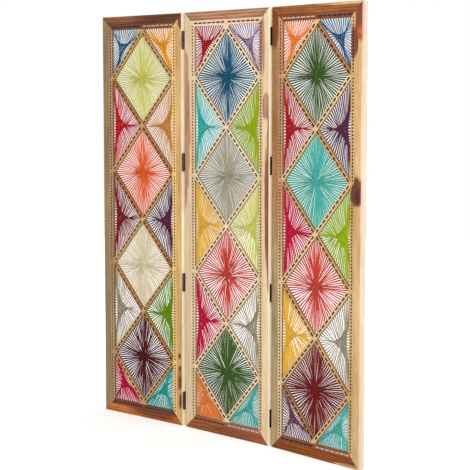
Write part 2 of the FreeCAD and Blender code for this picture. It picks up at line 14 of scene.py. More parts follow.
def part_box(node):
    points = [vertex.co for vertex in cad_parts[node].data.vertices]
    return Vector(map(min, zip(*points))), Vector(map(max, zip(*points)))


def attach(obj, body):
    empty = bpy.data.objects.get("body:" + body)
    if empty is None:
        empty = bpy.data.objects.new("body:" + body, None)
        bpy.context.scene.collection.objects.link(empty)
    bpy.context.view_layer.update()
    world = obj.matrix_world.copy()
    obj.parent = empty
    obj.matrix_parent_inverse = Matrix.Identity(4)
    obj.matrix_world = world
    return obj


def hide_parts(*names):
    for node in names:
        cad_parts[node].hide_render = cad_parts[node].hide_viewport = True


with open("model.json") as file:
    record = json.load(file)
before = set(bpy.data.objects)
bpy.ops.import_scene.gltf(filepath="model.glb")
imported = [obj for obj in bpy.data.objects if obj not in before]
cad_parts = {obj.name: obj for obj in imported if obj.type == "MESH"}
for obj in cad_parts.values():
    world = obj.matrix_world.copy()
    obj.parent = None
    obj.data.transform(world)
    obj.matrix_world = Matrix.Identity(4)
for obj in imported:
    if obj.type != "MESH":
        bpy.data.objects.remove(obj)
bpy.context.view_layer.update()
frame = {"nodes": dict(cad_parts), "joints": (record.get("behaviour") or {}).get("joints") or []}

LOG = logging.getLogger("folding_screen")
FULL_LEVEL = 255
WHITE = (1.0, 1.0, 1.0, 1.0)

Rgb = tuple[int, int, int]
Flat = tuple[float, float]
Triple = tuple[float, float, float]
Socket = bpy.types.NodeSocket
Feed = str | float | int | bool | tuple[float, ...] | Socket
Feeds = dict[str | int, Feed]


def linear(colour: Rgb) -> tuple[float, float, float, float]:
    """Turns a colour as a screen shows it into the renderer's linear colour.

    Args:
        colour: red, green and blue, each from 0 to 255.

    Returns:
        The linear colour with an alpha of 1.
    """
    shown = Color([level / FULL_LEVEL for level in colour])
    return (*shown.from_srgb_to_scene_linear(), 1.0)


def shaded(colour: Rgb, share: float) -> Rgb:
    """Scales a colour's brightness.

    Args:
        colour: red, green and blue, each from 0 to 255.
        share: what each level is multiplied by.

    Returns:
        The scaled colour, kept within the full level.
    """
    return tuple(min(FULL_LEVEL, round(level * share)) for level in colour)


@dataclass(frozen=True)
class Noise:
    """A random pattern: its repeats in a metre along each axis, and how many finer layers it has."""

    scale: Triple
    detail: float


class Graph:
    """A node tree with one short call that adds a node and feeds its inputs.

    The Mix node's sockets for colours share their names with those for numbers, so they go by number.
    """

    MIX_FIRST = 6
    MIX_SECOND = 7
    MIX_RESULT = 2

    def __init__(self, tree: bpy.types.NodeTree) -> None:
        """Keeps the tree that the nodes go into."""
        self.tree = tree

    def plug(self, node: bpy.types.Node, feeds: Feeds) -> None:
        """Links or sets inputs of a node.

        Args:
            node: the node.
            feeds: for each input's name or number, a socket to link from or a value to set.
        """
        for key, feed in feeds.items():
            if isinstance(feed, Socket):
                self.tree.links.new(feed, node.inputs[key])
            else:
                node.inputs[key].default_value = feed

    def node(self, kind: str, feeds: Feeds | None = None, **settings: object) -> bpy.types.Node:
        """Adds a node.

        Args:
            kind: Blender's name of the node type.
            feeds: for each input's name or number, a socket to link from or a value to set.
            **settings: properties of the node itself.

        Returns:
            The new node.
        """
        made = self.tree.nodes.new(kind)
        for name, value in settings.items():
            setattr(made, name, value)
        self.plug(made, feeds or {})
        return made

    def math(self, operation: str, *terms: Feed) -> Socket:
        """Adds a sum of one to three terms and returns its result."""
        return self.node("ShaderNodeMath", dict(enumerate(terms)), operation=operation).outputs[0]

    def vector(self, operation: str, result: str, *terms: Feed) -> Socket:
        """Adds a sum of one or two vectors and returns its result, a "Vector" or a "Value"."""
        made = self.node("ShaderNodeVectorMath", dict(enumerate(terms)), operation=operation)
        return made.outputs[result]

    def scaled(self, vector: Socket, scale: Triple) -> Socket:
        """Stretches coordinates by a scale for each axis and returns them."""
        return self.node("ShaderNodeMapping", {"Vector": vector, "Scale": scale}).outputs["Vector"]

    def noise(self, vector: Socket, pattern: Noise) -> Socket:
        """Adds a noise on the given coordinates and returns its level."""
        feeds = {"Vector": self.scaled(vector, pattern.scale), "Scale": 1.0, "Detail": pattern.detail}
        return self.node("ShaderNodeTexNoise", feeds).outputs["Fac"]

    def span(self, value: Feed, start: Feed, end: Feed, low: Feed = 0.0, high: Feed = 1.0) -> Socket:
        """Maps a value from start..end to low..high with soft ends and returns it."""
        feeds = {"Value": value, "From Min": start, "From Max": end, "To Min": low, "To Max": high}
        return self.node("ShaderNodeMapRange", feeds, interpolation_type="SMOOTHSTEP").outputs[0]

    def mix(self, share: Feed, first: Feed, second: Feed) -> Socket:
        """Mixes two colours by a share of the second and returns the colour."""
        feeds = {"Factor": share, self.MIX_FIRST: first, self.MIX_SECOND: second}
        return self.node("ShaderNodeMix", feeds, data_type="RGBA").outputs[self.MIX_RESULT]


class Surface(Graph):
    """The node tree of a new material, with its shader ready to be fed."""

    def __init__(self, name: str) -> None:
        """Makes a material that holds nothing but a Principled shader.

        Args:
            name: what the material is called.
        """
        self.material = bpy.data.materials.new(name)
        self.material.use_nodes = True
        super().__init__(self.material.node_tree)
        self.shader = self.tree.nodes["Principled BSDF"]

    def feed(self, feeds: Feeds) -> None:
        """Links or sets inputs of the shader."""
        self.plug(self.shader, feeds)

    def relief(self, height: Socket, strength: float, depth: float) -> None:
        """Gives the shader a bump of that height, strength and depth in metres."""
        feeds = {"Height": height, "Strength": strength, "Distance": depth}
        self.feed({"Normal": self.node("ShaderNodeBump", feeds).outputs["Normal"]})

    def place(self) -> Socket:
        """Returns the coordinates of the object itself, in metres."""
        return self.node("ShaderNodeTexCoord").outputs["Object"]

    def attribute(self, name: str, output: str = "Fac") -> Socket:
        """Returns what the piece's mesh keeps under that name, as a number or as a "Vector"."""
        return self.node("ShaderNodeAttribute", attribute_name=name).outputs[output]


class Panel(Enum):
    """The three panels, as seen from the front."""

    LEFT = "left"
    MIDDLE = "middle"
    RIGHT = "right"

    @property
    def body(self) -> str:
        """The body that the panel moves with."""
        return "middle_panel" if self is Panel.MIDDLE else f"{self.value}_wing"

    @property
    def side(self) -> int:
        """-1 for the left panel, 0 for the middle one and 1 for the right one."""
        return {Panel.LEFT: -1, Panel.MIDDLE: 0, Panel.RIGHT: 1}[self]

    @property
    def rest_turn(self) -> float:
        """How far the panel is turned about its hinges at rest, in radians."""
        return math.radians({Panel.LEFT: 2.5, Panel.MIDDLE: 0.0, Panel.RIGHT: -4.0}[self])

    def node(self, piece: str) -> str:
        """Returns the name of one of the panel's solids."""
        return f"{self.value}_panel_{piece}"


@dataclass(frozen=True)
class Row:
    """A straight row of holes in a strip, which two cells share, or in a lath, which belongs to one.

    x runs across the panel from its middle and z up from the floor, in metres. Along an upright lath the
    yarn shows only as a small loop in front of each hole.
    """

    start: Flat
    end: Flat
    shared: bool = True
    looped: bool = False


@dataclass(frozen=True)
class Hole:
    """A drilled hole: its place, the ways along its row and towards the cell, and the row itself.

    The aim is the place near the row to which the yarn fans out, so that the fan has no gap at the corners.
    """

    place: Vector
    aim: Vector
    along: Vector
    inward: Vector
    row: Row


@dataclass(frozen=True)
class Lattice:
    """Where a panel's lattice crosses, meets the laths and is drilled, in the panel's own frame.

    x runs across the panel from its middle, y from front to back and z up from the floor, in metres.
    """

    origin: Vector
    width: float
    opening_half: float
    opening_bottom: float
    opening_top: float
    lath_half: float
    slat_front: float
    slat_back: float
    crossing_inset: float = 0.010
    diamond_count: int = 4
    hole_pitch: float = 0.0134
    panel_gap: float = 0.018

    @classmethod
    def measured(cls) -> "Lattice":
        """Takes the sizes from the middle panel's solids.

        Returns:
            The lattice, which is the same in every panel.
        """
        stile_low, stile_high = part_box("middle_panel_left_stile")
        far_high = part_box("middle_panel_right_stile")[1]
        lath_low, lath_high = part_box("middle_panel_left_lath")
        origin = Vector(((stile_low.x + far_high.x) / 2, (stile_low.y + stile_high.y) / 2, stile_low.z))
        return cls(
            origin=origin,
            width=far_high.x - stile_low.x,
            opening_half=origin.x - lath_high.x,
            opening_bottom=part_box("middle_panel_bottom_lath")[1].z,
            opening_top=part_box("middle_panel_top_lath")[0].z,
            lath_half=(lath_high.x - lath_low.x) / 2,
            slat_front=lath_low.y - origin.y,
            slat_back=lath_high.y - origin.y,
        )

    @property
    def crossings(self) -> list[float]:
        """Heights at which the strips cross in the middle, from the top down."""
        top = self.opening_top - self.crossing_inset
        step = (top - self.opening_bottom - self.crossing_inset) / self.diamond_count
        return [top - step * index for index in range(self.diamond_count + 1)]

    @property
    def joints(self) -> list[float]:
        """Heights at which the strips meet the laths at the sides, from the top down."""
        crossings = self.crossings
        return [(upper + lower) / 2 for upper, lower in zip(crossings, crossings[1:])]

    @property
    def strip_angle(self) -> float:
        """The slope of a rising strip."""
        return math.atan2(self.crossings[0] - self.joints[0], self.opening_half)

    def placement(self, panel: Panel) -> Matrix:
        """Gives the panel's place in the whole screen.

        Args:
            panel: the panel.

        Returns:
            The matrix from the panel's own frame to the screen's.
        """
        step = Vector((self.width + self.panel_gap, 0, 0))
        moved = Matrix.Translation(self.origin + panel.side * step)
        for joint in frame["joints"]:
            if joint["child"] == panel.body:
                axis = Vector(joint["pos_m"])
                turn = Matrix.Rotation(panel.rest_turn, 4, "Z")
                moved = Matrix.Translation(axis) @ turn @ Matrix.Translation(-axis) @ moved
        return moved

    def diamond_rows(self, index: int) -> list[Row]:
        """Gives the four rows round one diamond.

        Args:
            index: the diamond's number from the top.

        Returns:
            The rows in order round the diamond.
        """
        top, bottom = (0.0, self.crossings[index]), (0.0, self.crossings[index + 1])
        right, left = (self.opening_half, self.joints[index]), (-self.opening_half, self.joints[index])
        corners = [top, right, bottom, left, top]
        return [Row(start, end) for start, end in zip(corners, corners[1:])]

    def side_rows(self, index: int, side: int) -> list[Row]:
        """Gives the three rows round one triangle at a side of the panel.

        Args:
            index: the triangle's number from the top; the first and the last are the corners.
            side: -1 at the left and 1 at the right.

        Returns:
            The rows in order round the triangle.
        """
        edge = side * self.opening_half
        lath = side * (self.opening_half + self.lath_half)
        top, bottom = self.opening_top + self.lath_half, self.opening_bottom - self.lath_half
        middle = (0.0, self.crossings[index])
        above = self.joints[index - 1] if index else top
        below = self.joints[index] if index < self.diamond_count else bottom
        upper = Row(middle, (edge, above)) if index else Row((0.0, top), (lath, top), shared=False)
        lower = Row((edge, below), middle)
        if index == self.diamond_count:
            lower = Row((lath, bottom), (0.0, bottom), shared=False)
        return [upper, Row((lath, above), (lath, below), shared=False, looped=True), lower]

    def holes(self, rows: list[Row]) -> list[Hole]:
        """Spaces the holes out along rows.

        Args:
            rows: the rows round one cell, in order.

        Returns:
            The holes in order round the cell.
        """
        corners = [Vector(row.start) for row in rows]
        centre = sum(corners, Vector((0.0, 0.0))) / len(corners)
        # The fans of two rows meet half-way between the end of the one and the start of the other.
        ends = [Vector(row.end) for row in (rows[-1], *rows)]
        meets = [(end + corner) / 2 for end, corner in zip(ends, corners)]
        made = []
        for row, first, last in zip(rows, meets, [*meets[1:], meets[0]]):
            start, end = Vector(row.start), Vector(row.end)
            along = (end - start).normalized()
            inward = centre - start
            inward = (inward - along * inward.dot(along)).normalized()
            gaps = round((end - start).length / self.hole_pitch)
            for number in range(1, gaps):
                aim = first.lerp(last, (number - 0.5) / (gaps - 1))
                made.append(Hole(start.lerp(end, number / gaps), aim, along, inward, row))
        return made


@dataclass(frozen=True)
class YarnFinish:
    """A soft twisted yarn of one colour.

    Lengths are in metres, and the diameter is that of one strand where it runs free; it keeps the tight
    share of it where all spans cross. Its strands spread by a share of the way to the next hole. The
    stitches take painted shade, darkest where they go into the holes, which stands for the shade in the
    holes; a yarn with a lath glint takes a painted highlight on its stitches along a level lath instead.
    The shade shares give the dark and the pale end of the colour, and a span is the part of a pattern over
    which something changes.
    """

    colour: Rgb
    diameter: float = 0.0026
    tight_share: float = 0.58
    strand_spread: float = 0.20
    ply_pitch: float = 0.008
    ply_count: int = 3
    ply_share: float = 0.25
    # Painted shade of the holes: the dark colour that the yarn turns towards near a hole, and how far it
    # goes.
    hole_shade_colour: Rgb = (34, 21, 14)
    hole_shade_share: float = 0.92
    # A yarn with a lath glint takes a painted highlight, the glint colour, on its stitches along a level
    # lath.
    lath_glint: bool = False
    glint_colour: Rgb = (216, 184, 166)
    fuzz: Noise = Noise((700.0, 700.0, 700.0), 3.0)
    fuzz_span: Flat = (0.3, 0.7)
    shade_shares: Flat = (0.80, 1.14)
    shade_span: Flat = (0.1, 0.9)
    roughness: Flat = (0.82, 0.95)
    sheen: float = 0.05
    sheen_roughness: float = 0.5
    gloss: float = 0.1
    relief: float = 0.6
    relief_share: float = 0.125

    def material(self, name: str) -> bpy.types.Material:
        """Builds the yarn's material.

        Args:
            name: what the material is called.

        Returns:
            The material. It reads the attributes that the strand's node tree writes.
        """
        surface = Surface(name)
        turn = surface.attribute("ply_turn", "Vector")
        axes = surface.node("ShaderNodeSeparateXYZ", {0: turn}).outputs
        angle = surface.math("ARCTAN2", axes["Y"], axes["X"])
        twist = surface.math("MULTIPLY", surface.attribute("ply_length"), math.tau / self.ply_pitch)
        plies = surface.math("SINE", surface.math("MULTIPLY_ADD", angle, float(self.ply_count), twist))
        fuzz = surface.noise(surface.place(), self.fuzz)
        level = surface.math("MULTIPLY_ADD", plies, self.ply_share, fuzz)
        dark, pale = [linear(shaded(self.colour, share)) for share in self.shade_shares]
        colour = surface.mix(surface.span(level, *self.shade_span), dark, pale)
        # Painted shade: where the painted light is above 0, the yarn darkens towards the hole shade colour,
        # for the shade in the holes.
        light_paint = surface.math("MULTIPLY", surface.attribute("painted_light"), self.hole_shade_share)
        colour = surface.mix(surface.math("MAXIMUM", light_paint, 0.0), colour, linear(self.hole_shade_colour))
        # Painted highlight: where the painted light is below 0, the yarn pales towards the glint colour.
        glint = surface.math("MAXIMUM", surface.math("MULTIPLY", light_paint, -1.0), 0.0)
        surface.feed(
            {
                "Base Color": surface.mix(glint, colour, linear(self.glint_colour)),
                "Roughness": surface.span(fuzz, *self.fuzz_span, *self.roughness),
                "Sheen Weight": self.sheen,
                "Sheen Roughness": self.sheen_roughness,
                "Specular IOR Level": self.gloss,
            }
        )
        surface.relief(level, self.relief, self.diameter * self.relief_share)
        return surface.material


class Yarn(Enum):
    """The yarns that the screen is strung with."""

    NAVY = YarnFinish((30, 88, 126), diameter=0.0019, tight_share=0.62, strand_spread=0.22)
    GOLD = YarnFinish((230, 178, 58), diameter=0.0030, strand_spread=0.27)
    AMBER = YarnFinish((232, 156, 16), diameter=0.0026, tight_share=0.80, lath_glint=True)
    PALE_LIME = YarnFinish((206, 203, 98), diameter=0.0027, strand_spread=0.23)
    CRIMSON = YarnFinish((188, 18, 24), diameter=0.0021, tight_share=0.90)
    COPPER = YarnFinish((202, 136, 58), diameter=0.0019, tight_share=0.90)
    VERMILION = YarnFinish((236, 98, 36), diameter=0.0025, tight_share=0.68)
    BURGUNDY = YarnFinish((130, 22, 28), diameter=0.0023, tight_share=0.85)
    DARK_PURPLE = YarnFinish((86, 38, 66), diameter=0.0022, tight_share=0.95)
    IVORY = YarnFinish((222, 207, 178), diameter=0.0031, strand_spread=0.26)
    ASH = YarnFinish((160, 148, 124), diameter=0.0024, tight_share=0.50, strand_spread=0.22)
    LEAF = YarnFinish((106, 142, 2), diameter=0.0027, tight_share=0.95, strand_spread=0.22)
    PLUM = YarnFinish((84, 16, 18), diameter=0.0031, tight_share=0.56, strand_spread=0.23)
    MAGENTA = YarnFinish((188, 18, 60), diameter=0.0027, tight_share=0.80, strand_spread=0.22)
    TURQUOISE = YarnFinish((70, 170, 158), diameter=0.0030, strand_spread=0.24)
    TEAL = YarnFinish((40, 164, 154), diameter=0.0029, strand_spread=0.26)
    LAGOON = YarnFinish((74, 178, 170), diameter=0.0027, strand_spread=0.28, lath_glint=True)
    AQUA = YarnFinish((36, 172, 166), diameter=0.0018, tight_share=0.80)
    DARK_RED = YarnFinish((168, 20, 26), diameter=0.0022, tight_share=0.85)
    PURPLE = YarnFinish((108, 62, 84), diameter=0.0022, tight_share=0.75)
    MAUVE = YarnFinish((132, 88, 124), diameter=0.0018, tight_share=0.44)
    PETROL = YarnFinish((16, 84, 110), diameter=0.0026, tight_share=0.75)
    LIME = YarnFinish((150, 172, 4), diameter=0.0027, tight_share=0.78, strand_spread=0.25)
    STONE = YarnFinish((164, 155, 134), diameter=0.0028, strand_spread=0.25)
    RED = YarnFinish((196, 66, 48), diameter=0.0028, strand_spread=0.22)
    BOTTLE = YarnFinish((64, 94, 34), diameter=0.0033, strand_spread=0.25)
    ORANGE = YarnFinish((238, 128, 52), diameter=0.0023, tight_share=0.80, lath_glint=True)
    TANGERINE = YarnFinish((236, 130, 58), diameter=0.0034, strand_spread=0.31)
    FOREST = YarnFinish((60, 86, 26), diameter=0.0026, tight_share=0.75)
    MAROON = YarnFinish((114, 26, 24), diameter=0.0034, strand_spread=0.24)


@dataclass(frozen=True)
class PathPoint:
    """A point that a yarn runs through, with how thick and free to stray it is there, and its painted
    light.

    The girth is a share of the free strand's; painted light above 0 is painted shade, and below 0 it is a
    painted highlight.
    """

    place: Vector
    girth: float
    stray: float = 0.0
    light_paint: float = 0.0


@dataclass(frozen=True)
class Winding:
    """One unbroken yarn, stitched through pairs of holes and strung across a cell between them.

    Lengths are in metres. It is laid three times, out, home and out again, and its strands run side by
    side, each in its own lane. A stitch lies on the front, but along an upright lath it lies at the back,
    and only a small loop of it shows in front of each hole. Each of the stitch shades is a share of the
    way along a stitch and how much painted shade the yarn takes there; the loops, the strands at the back
    of the holes and the knots take painted shade too, for the shade in and behind the holes. Pulled
    tight, the yarn is thinnest where all its spans cross, and there it reaches into the opening by the
    stack.
    """

    lattice: Lattice
    holes: list[Hole]
    finish: YarnFinish
    stack: float = 0.008
    lanes: tuple[int, ...] = (-1, 0, 1)
    hole_radius: float = 0.0007
    hole_lane: float = 0.0003
    stitch_radius: float = 0.0012
    stitch_lane: float = 0.0008
    lath_radius: float = 0.0023
    front_reach: float = 0.0034
    # Painted shade for the shade in and behind the holes: along the stitches, on the loops, at the back of
    # the holes and on the knots.
    stitch_shades: tuple[Flat, ...] = ((-0.2, 1.0), (0.25, 0.9), (0.75, 0.9), (1.2, 1.0))
    loop_shade: float = 1.0
    back_shade: float = 0.5
    knot_shade: float = 0.3
    loop_reach: float = 0.0026
    fan_reach: float = 0.008
    lean_shares: tuple[float, ...] = (0.16, 0.5, 0.84)
    layer_stride: float = 0.618
    knot_radius: float = 0.0022
    knot_turns: float = 1.75
    knot_steps: int = 8
    tail_length: float = 0.014
    turn_reach: float = 0.004

    @property
    def free_radius(self) -> float:
        """The yarn's radius where it runs free."""
        return self.finish.diameter / 2

    def visits(self) -> list[int]:
        """Works out the order in which the yarn passes the holes.

        Returns:
            The holes' numbers: a stitch joins the first two, a free span the next two, and so on.
        """
        count = len(self.holes)
        step = count // 2 if count // 2 % 2 else count // 2 - 1
        order = [0]
        heading = step
        while True:
            order.append(order[-1] ^ 1)
            arrival = (order[-1] + heading) % count
            heading = -heading
            if arrival in order:
                return order if arrival else [*order, arrival]
            order.append(arrival)

    def point(
        self, place: Vector, depth: float, radius: float, stray: float = 0.0, light_paint: float = 0.0
    ) -> PathPoint:
        """Makes a path point from a place in the panel's face and a depth behind its middle."""
        return PathPoint(Vector((place.x, depth, place.y)), radius / self.free_radius, stray, light_paint)

    def lane(self, hole: Hole, side: int, gap: float) -> Vector:
        """Gives the place of one of the strands at a hole.

        Args:
            hole: the hole.
            side: -1, 0 or 1, which strand it is.
            gap: how far a strand keeps from the next one.

        Returns:
            The place in the panel's face. Where two cells share the hole, the yarn keeps to its own
            cell's half.
        """
        middle = 2 * gap if hole.row.shared else 0.0
        return hole.place + hole.inward * (middle + side * gap)

    def front(self, radius: float) -> float:
        """Returns the depth at which yarn lies on the front, sunk so far that a folded wing clears it."""
        return self.lattice.slat_front - min(radius, self.front_reach - radius)

    def stitch(self, start: Hole, end: Hole, side: int) -> list[PathPoint]:
        """Gives the points of a stitch, whose painted shade is strongest where it goes into the holes.

        Args:
            start: the hole that it comes from.
            end: the hole that it goes into.
            side: -1, 0 or 1, which strand it is.

        Returns:
            The points in the order in which the yarn runs.
        """
        if start.row.looped:
            behind = [self.back(start, side), self.back(end, side)]
            return [*self.loop(start, side), *behind, *self.loop(end, side)]
        radius = self.stitch_radius if start.row.shared else self.lath_radius
        # A yarn with a lath glint gets a painted highlight instead of painted shade on a level lath's
        # stitches.
        sign = -1 if self.finish.lath_glint and not start.row.shared else 1
        depth = self.front(radius)
        first, last = self.lane(start, side, self.stitch_lane), self.lane(end, side, self.stitch_lane)
        return [
            self.point(first + (last - first) * share, depth, radius, light_paint=sign * light_paint)
            for share, light_paint in self.stitch_shades
        ]

    def loop(self, hole: Hole, side: int) -> list[PathPoint]:
        """Gives the points of the small loop that shows in front of a lath's hole.

        Args:
            hole: the hole.
            side: -1, 0 or 1, which strand it is.

        Returns:
            The loop's two ends.
        """
        radius = self.lath_radius
        place = self.lane(hole, side, self.stitch_lane)
        reach = hole.along * self.loop_reach
        ends = (place - reach, place + reach)
        return [self.point(end, self.front(radius), radius, light_paint=self.loop_shade) for end in ends]

    def back(self, hole: Hole, side: int) -> PathPoint:
        """Returns the point where a strand comes out of a hole at the back."""
        depth, radius = self.lattice.slat_back + self.hole_radius, self.hole_radius
        return self.point(self.lane(hole, side, self.hole_lane), depth, radius, light_paint=self.back_shade)

    def aim(self, position: float) -> Vector:
        """Gives a place on the rows round the cell.

        Args:
            position: a hole's number, with a fraction for a place between two holes.

        Returns:
            The place in the panel's face.
        """
        number = math.floor(position)
        count = len(self.holes)
        near, far = self.holes[number % count].aim, self.holes[(number + 1) % count].aim
        return near.lerp(far, position - number)

    def fan(self, number: int, spans: int, side: int) -> tuple[Vector, Vector]:
        """Gives the two places that one strand of a span makes for, so that all strands fan out evenly.

        Args:
            number: the span's number.
            spans: how many spans there are.
            side: -1, 0 or 1, which strand it is.

        Returns:
            The places in the order in which the yarn runs.
        """
        half = len(self.holes) // 2
        # Where some holes are left without a span, the spans spread evenly over all of them.
        first = number + 1 if spans == half else (number + 0.5) * half / spans - 0.5
        first += side * self.finish.strand_spread
        ends = self.aim(first), self.aim(first + half)
        return ends[::-1] if number % 2 else ends

    def span(self, fan: tuple[Vector, Vector], layer: float) -> list[PathPoint]:
        """Gives the points of one strand of a free span.

        Args:
            fan: the two places between which it runs.
            layer: how far up the pile of crossing spans it passes, from 0 to 1.

        Returns:
            A point behind each row, where the yarn has swelled again, and those where it leans on others.
        """
        low = self.lattice.slat_back + self.free_radius
        opening = self.fan_reach / (fan[1] - fan[0]).length
        points = []
        for share in (opening, *self.lean_shares, 1 - opening):
            tightness = 1 - abs(1 - 2 * share)
            radius = self.free_radius * (1 - tightness * (1 - self.finish.tight_share))
            depth = low - self.stack * (1 + layer) / 2 * tightness**2
            points.append(self.point(fan[0].lerp(fan[1], share), depth, radius, stray=tightness))
        return points

    def knot(self, hole: Hole) -> list[PathPoint]:
        """Gives the points of the knot at an end of the yarn, behind a hole.

        Args:
            hole: the hole that the knot sits on.

        Returns:
            The points from the tail's tip to the hole.
        """
        radius, light_paint = self.stitch_radius, self.knot_shade
        base = self.lattice.slat_back + radius
        points = [self.point(hole.place + hole.along * self.tail_length, base, radius, light_paint=light_paint)]
        steps = round(self.knot_turns * self.knot_steps)
        for step in range(steps + 1):
            angle = math.tau * step / self.knot_steps
            arm = hole.along * math.cos(angle) + hole.inward * math.sin(angle)
            depth = base + 2 * radius * step / steps
            points.append(self.point(hole.place + arm * self.knot_radius, depth, radius, light_paint=light_paint))
        return points

    def strand(self, order: list[Hole], side: int) -> list[PathPoint]:
        """Gives the way of one strand.

        Args:
            order: the holes in the order in which the yarn passes them.
            side: -1, 0 or 1, which strand it is.

        Returns:
            Its points from the first hole to the last.
        """
        spans = list(zip(order[1::2], order[2::2]))
        points = [self.back(order[0], side)]
        for number, (start, end) in enumerate(zip(order[::2], order[1::2])):
            points += [*self.stitch(start, end, side), self.back(end, side)]
            if number < len(spans):
                fan = self.fan(number, len(spans), side)
                layer = number * self.layer_stride % 1.0
                points += [*self.span(fan, layer), self.back(spans[number][1], side)]
        return points

    def path(self) -> list[PathPoint]:
        """Gives every point of the yarn.

        Returns:
            Its points from knot to knot. It turns at the last hole and at the first, and runs beside
            itself.
        """
        order = [self.holes[number] for number in self.visits()]
        radius, light_paint = self.stitch_radius, self.knot_shade
        base = self.lattice.slat_back + radius
        points = self.knot(order[0])
        for number, side in enumerate(self.lanes):
            strand = self.strand(order, side)
            here = order[0] if number % 2 else order[-1]
            turn = self.point(here.place + here.along * self.turn_reach, base, radius, light_paint=light_paint)
            points += [*(strand[::-1] if number % 2 else strand), turn]
        return [*points[:-1], *self.knot(order[-1])[::-1]]


class StrandTree:
    """The node tree that turns a yarn's path into a soft round strand."""

    INPUTS = {
        "Radius": "NodeSocketFloat",
        "Bend radius": "NodeSocketFloat",
        "Bend points": "NodeSocketInt",
        "Sides": "NodeSocketInt",
        "Stray": "NodeSocketFloat",
        "Seed": "NodeSocketInt",
        "Material": "NodeSocketMaterial",
    }
    PATH_ONLY = ("stray", "girth")

    def __init__(self) -> None:
        """Builds the tree once, for every yarn."""
        self.tree = bpy.data.node_groups.new("strand", "GeometryNodeTree")
        face = self.tree.interface
        face.new_socket("Geometry", in_out="INPUT", socket_type="NodeSocketGeometry")
        self.sockets = {
            name: face.new_socket(name, in_out="INPUT", socket_type=kind).identifier
            for name, kind in self.INPUTS.items()
        }
        face.new_socket("Geometry", in_out="OUTPUT", socket_type="NodeSocketGeometry")
        self.lay_out()

    def lay_out(self) -> None:
        """Adds the nodes: stray, round the bends, sweep a circle and keep what the material reads."""
        graph = Graph(self.tree)
        given = graph.node("NodeGroupInput").outputs
        spread = {"Min": (-1.0,) * 3, "Max": (1.0,) * 3, "Seed": given["Seed"]}
        drift = graph.node("FunctionNodeRandomValue", spread, data_type="FLOAT_VECTOR").outputs[0]
        push = {0: drift, "Scale": graph.math("MULTIPLY", self.read(graph, "stray"), given["Stray"])}
        offset = graph.node("ShaderNodeVectorMath", push, operation="SCALE").outputs[0]
        strayed = graph.node("GeometryNodeSetPosition", {"Geometry": given["Geometry"], "Offset": offset})
        line = graph.node("GeometryNodeMeshToCurve", {"Mesh": strayed.outputs[0]}).outputs[0]
        bend = {
            "Curve": line,
            "Count": given["Bend points"],
            "Radius": given["Bend radius"],
            "Limit Radius": True,
        }
        rounded = graph.node("GeometryNodeFilletCurve", bend, mode="POLY").outputs[0]
        length = graph.node("GeometryNodeSplineParameter").outputs["Length"]
        measured = self.kept(graph, rounded, "ply_length", length, "FLOAT")
        ring = {"Resolution": given["Sides"], "Radius": 1.0}
        circle = graph.node("GeometryNodeCurvePrimitiveCircle", ring).outputs["Curve"]
        turn = graph.node("GeometryNodeInputPosition").outputs[0]
        profile = self.kept(graph, circle, "ply_turn", turn, "FLOAT_VECTOR")
        radius = graph.math("MULTIPLY", self.read(graph, "girth"), given["Radius"])
        sweep = {"Curve": measured, "Profile Curve": profile, "Scale": radius, "Fill Caps": True}
        strand = graph.node("GeometryNodeCurveToMesh", sweep).outputs[0]
        smooth = graph.node("GeometryNodeSetShadeSmooth", {"Geometry": strand}).outputs[0]
        real = graph.node("GeometryNodeRealizeInstances", {"Geometry": smooth}).outputs[0]
        dressed = graph.node("GeometryNodeSetMaterial", {"Geometry": real, "Material": given["Material"]})
        graph.node("NodeGroupOutput", {"Geometry": dressed.outputs[0]})

    @staticmethod
    def read(graph: Graph, name: str) -> Socket:
        """Returns the number that the path's points keep under that name."""
        return graph.node("GeometryNodeInputNamedAttribute", {"Name": name}, data_type="FLOAT").outputs[0]

    @staticmethod
    def kept(graph: Graph, geometry: Socket, name: str, value: Socket, kind: str) -> Socket:
        """Stores a value on the points of a geometry, for the material to read.

        Args:
            graph: the tree's nodes.
            geometry: what the value is stored on.
            name: what the value is called.
            value: the value.
            kind: Blender's name of the value's type.

        Returns:
            The geometry with the value.
        """
        feeds = {"Geometry": geometry, "Name": name, "Value": value}
        stored = graph.node("GeometryNodeStoreNamedAttribute", feeds, data_type=kind, domain="POINT")
        return stored.outputs[0]

    def swept(self, piece: bpy.types.Object, sizes: dict[str, object]) -> None:
        """Runs the tree on a piece and leaves a plain mesh.

        Args:
            piece: the object whose mesh is the path.
            sizes: a value for each of the tree's named inputs.
        """
        modifier = piece.modifiers.new("strand", "NODES")
        modifier.node_group = self.tree
        for name, value in sizes.items():
            modifier[self.sockets[name]] = value
        evaluated = piece.evaluated_get(bpy.context.evaluated_depsgraph_get())
        mesh = bpy.data.meshes.new_from_object(evaluated)
        path = piece.data
        piece.modifiers.remove(modifier)
        piece.data = mesh
        bpy.data.meshes.remove(path)
        for name in self.PATH_ONLY:
            mesh.attributes.remove(mesh.attributes[name])


@dataclass(frozen=True)
class PanelYarns:
    """Which yarn is in each cell of a panel, from the top down."""

    diamonds: tuple[Yarn, ...]
    left: tuple[Yarn, ...]
    right: tuple[Yarn, ...]


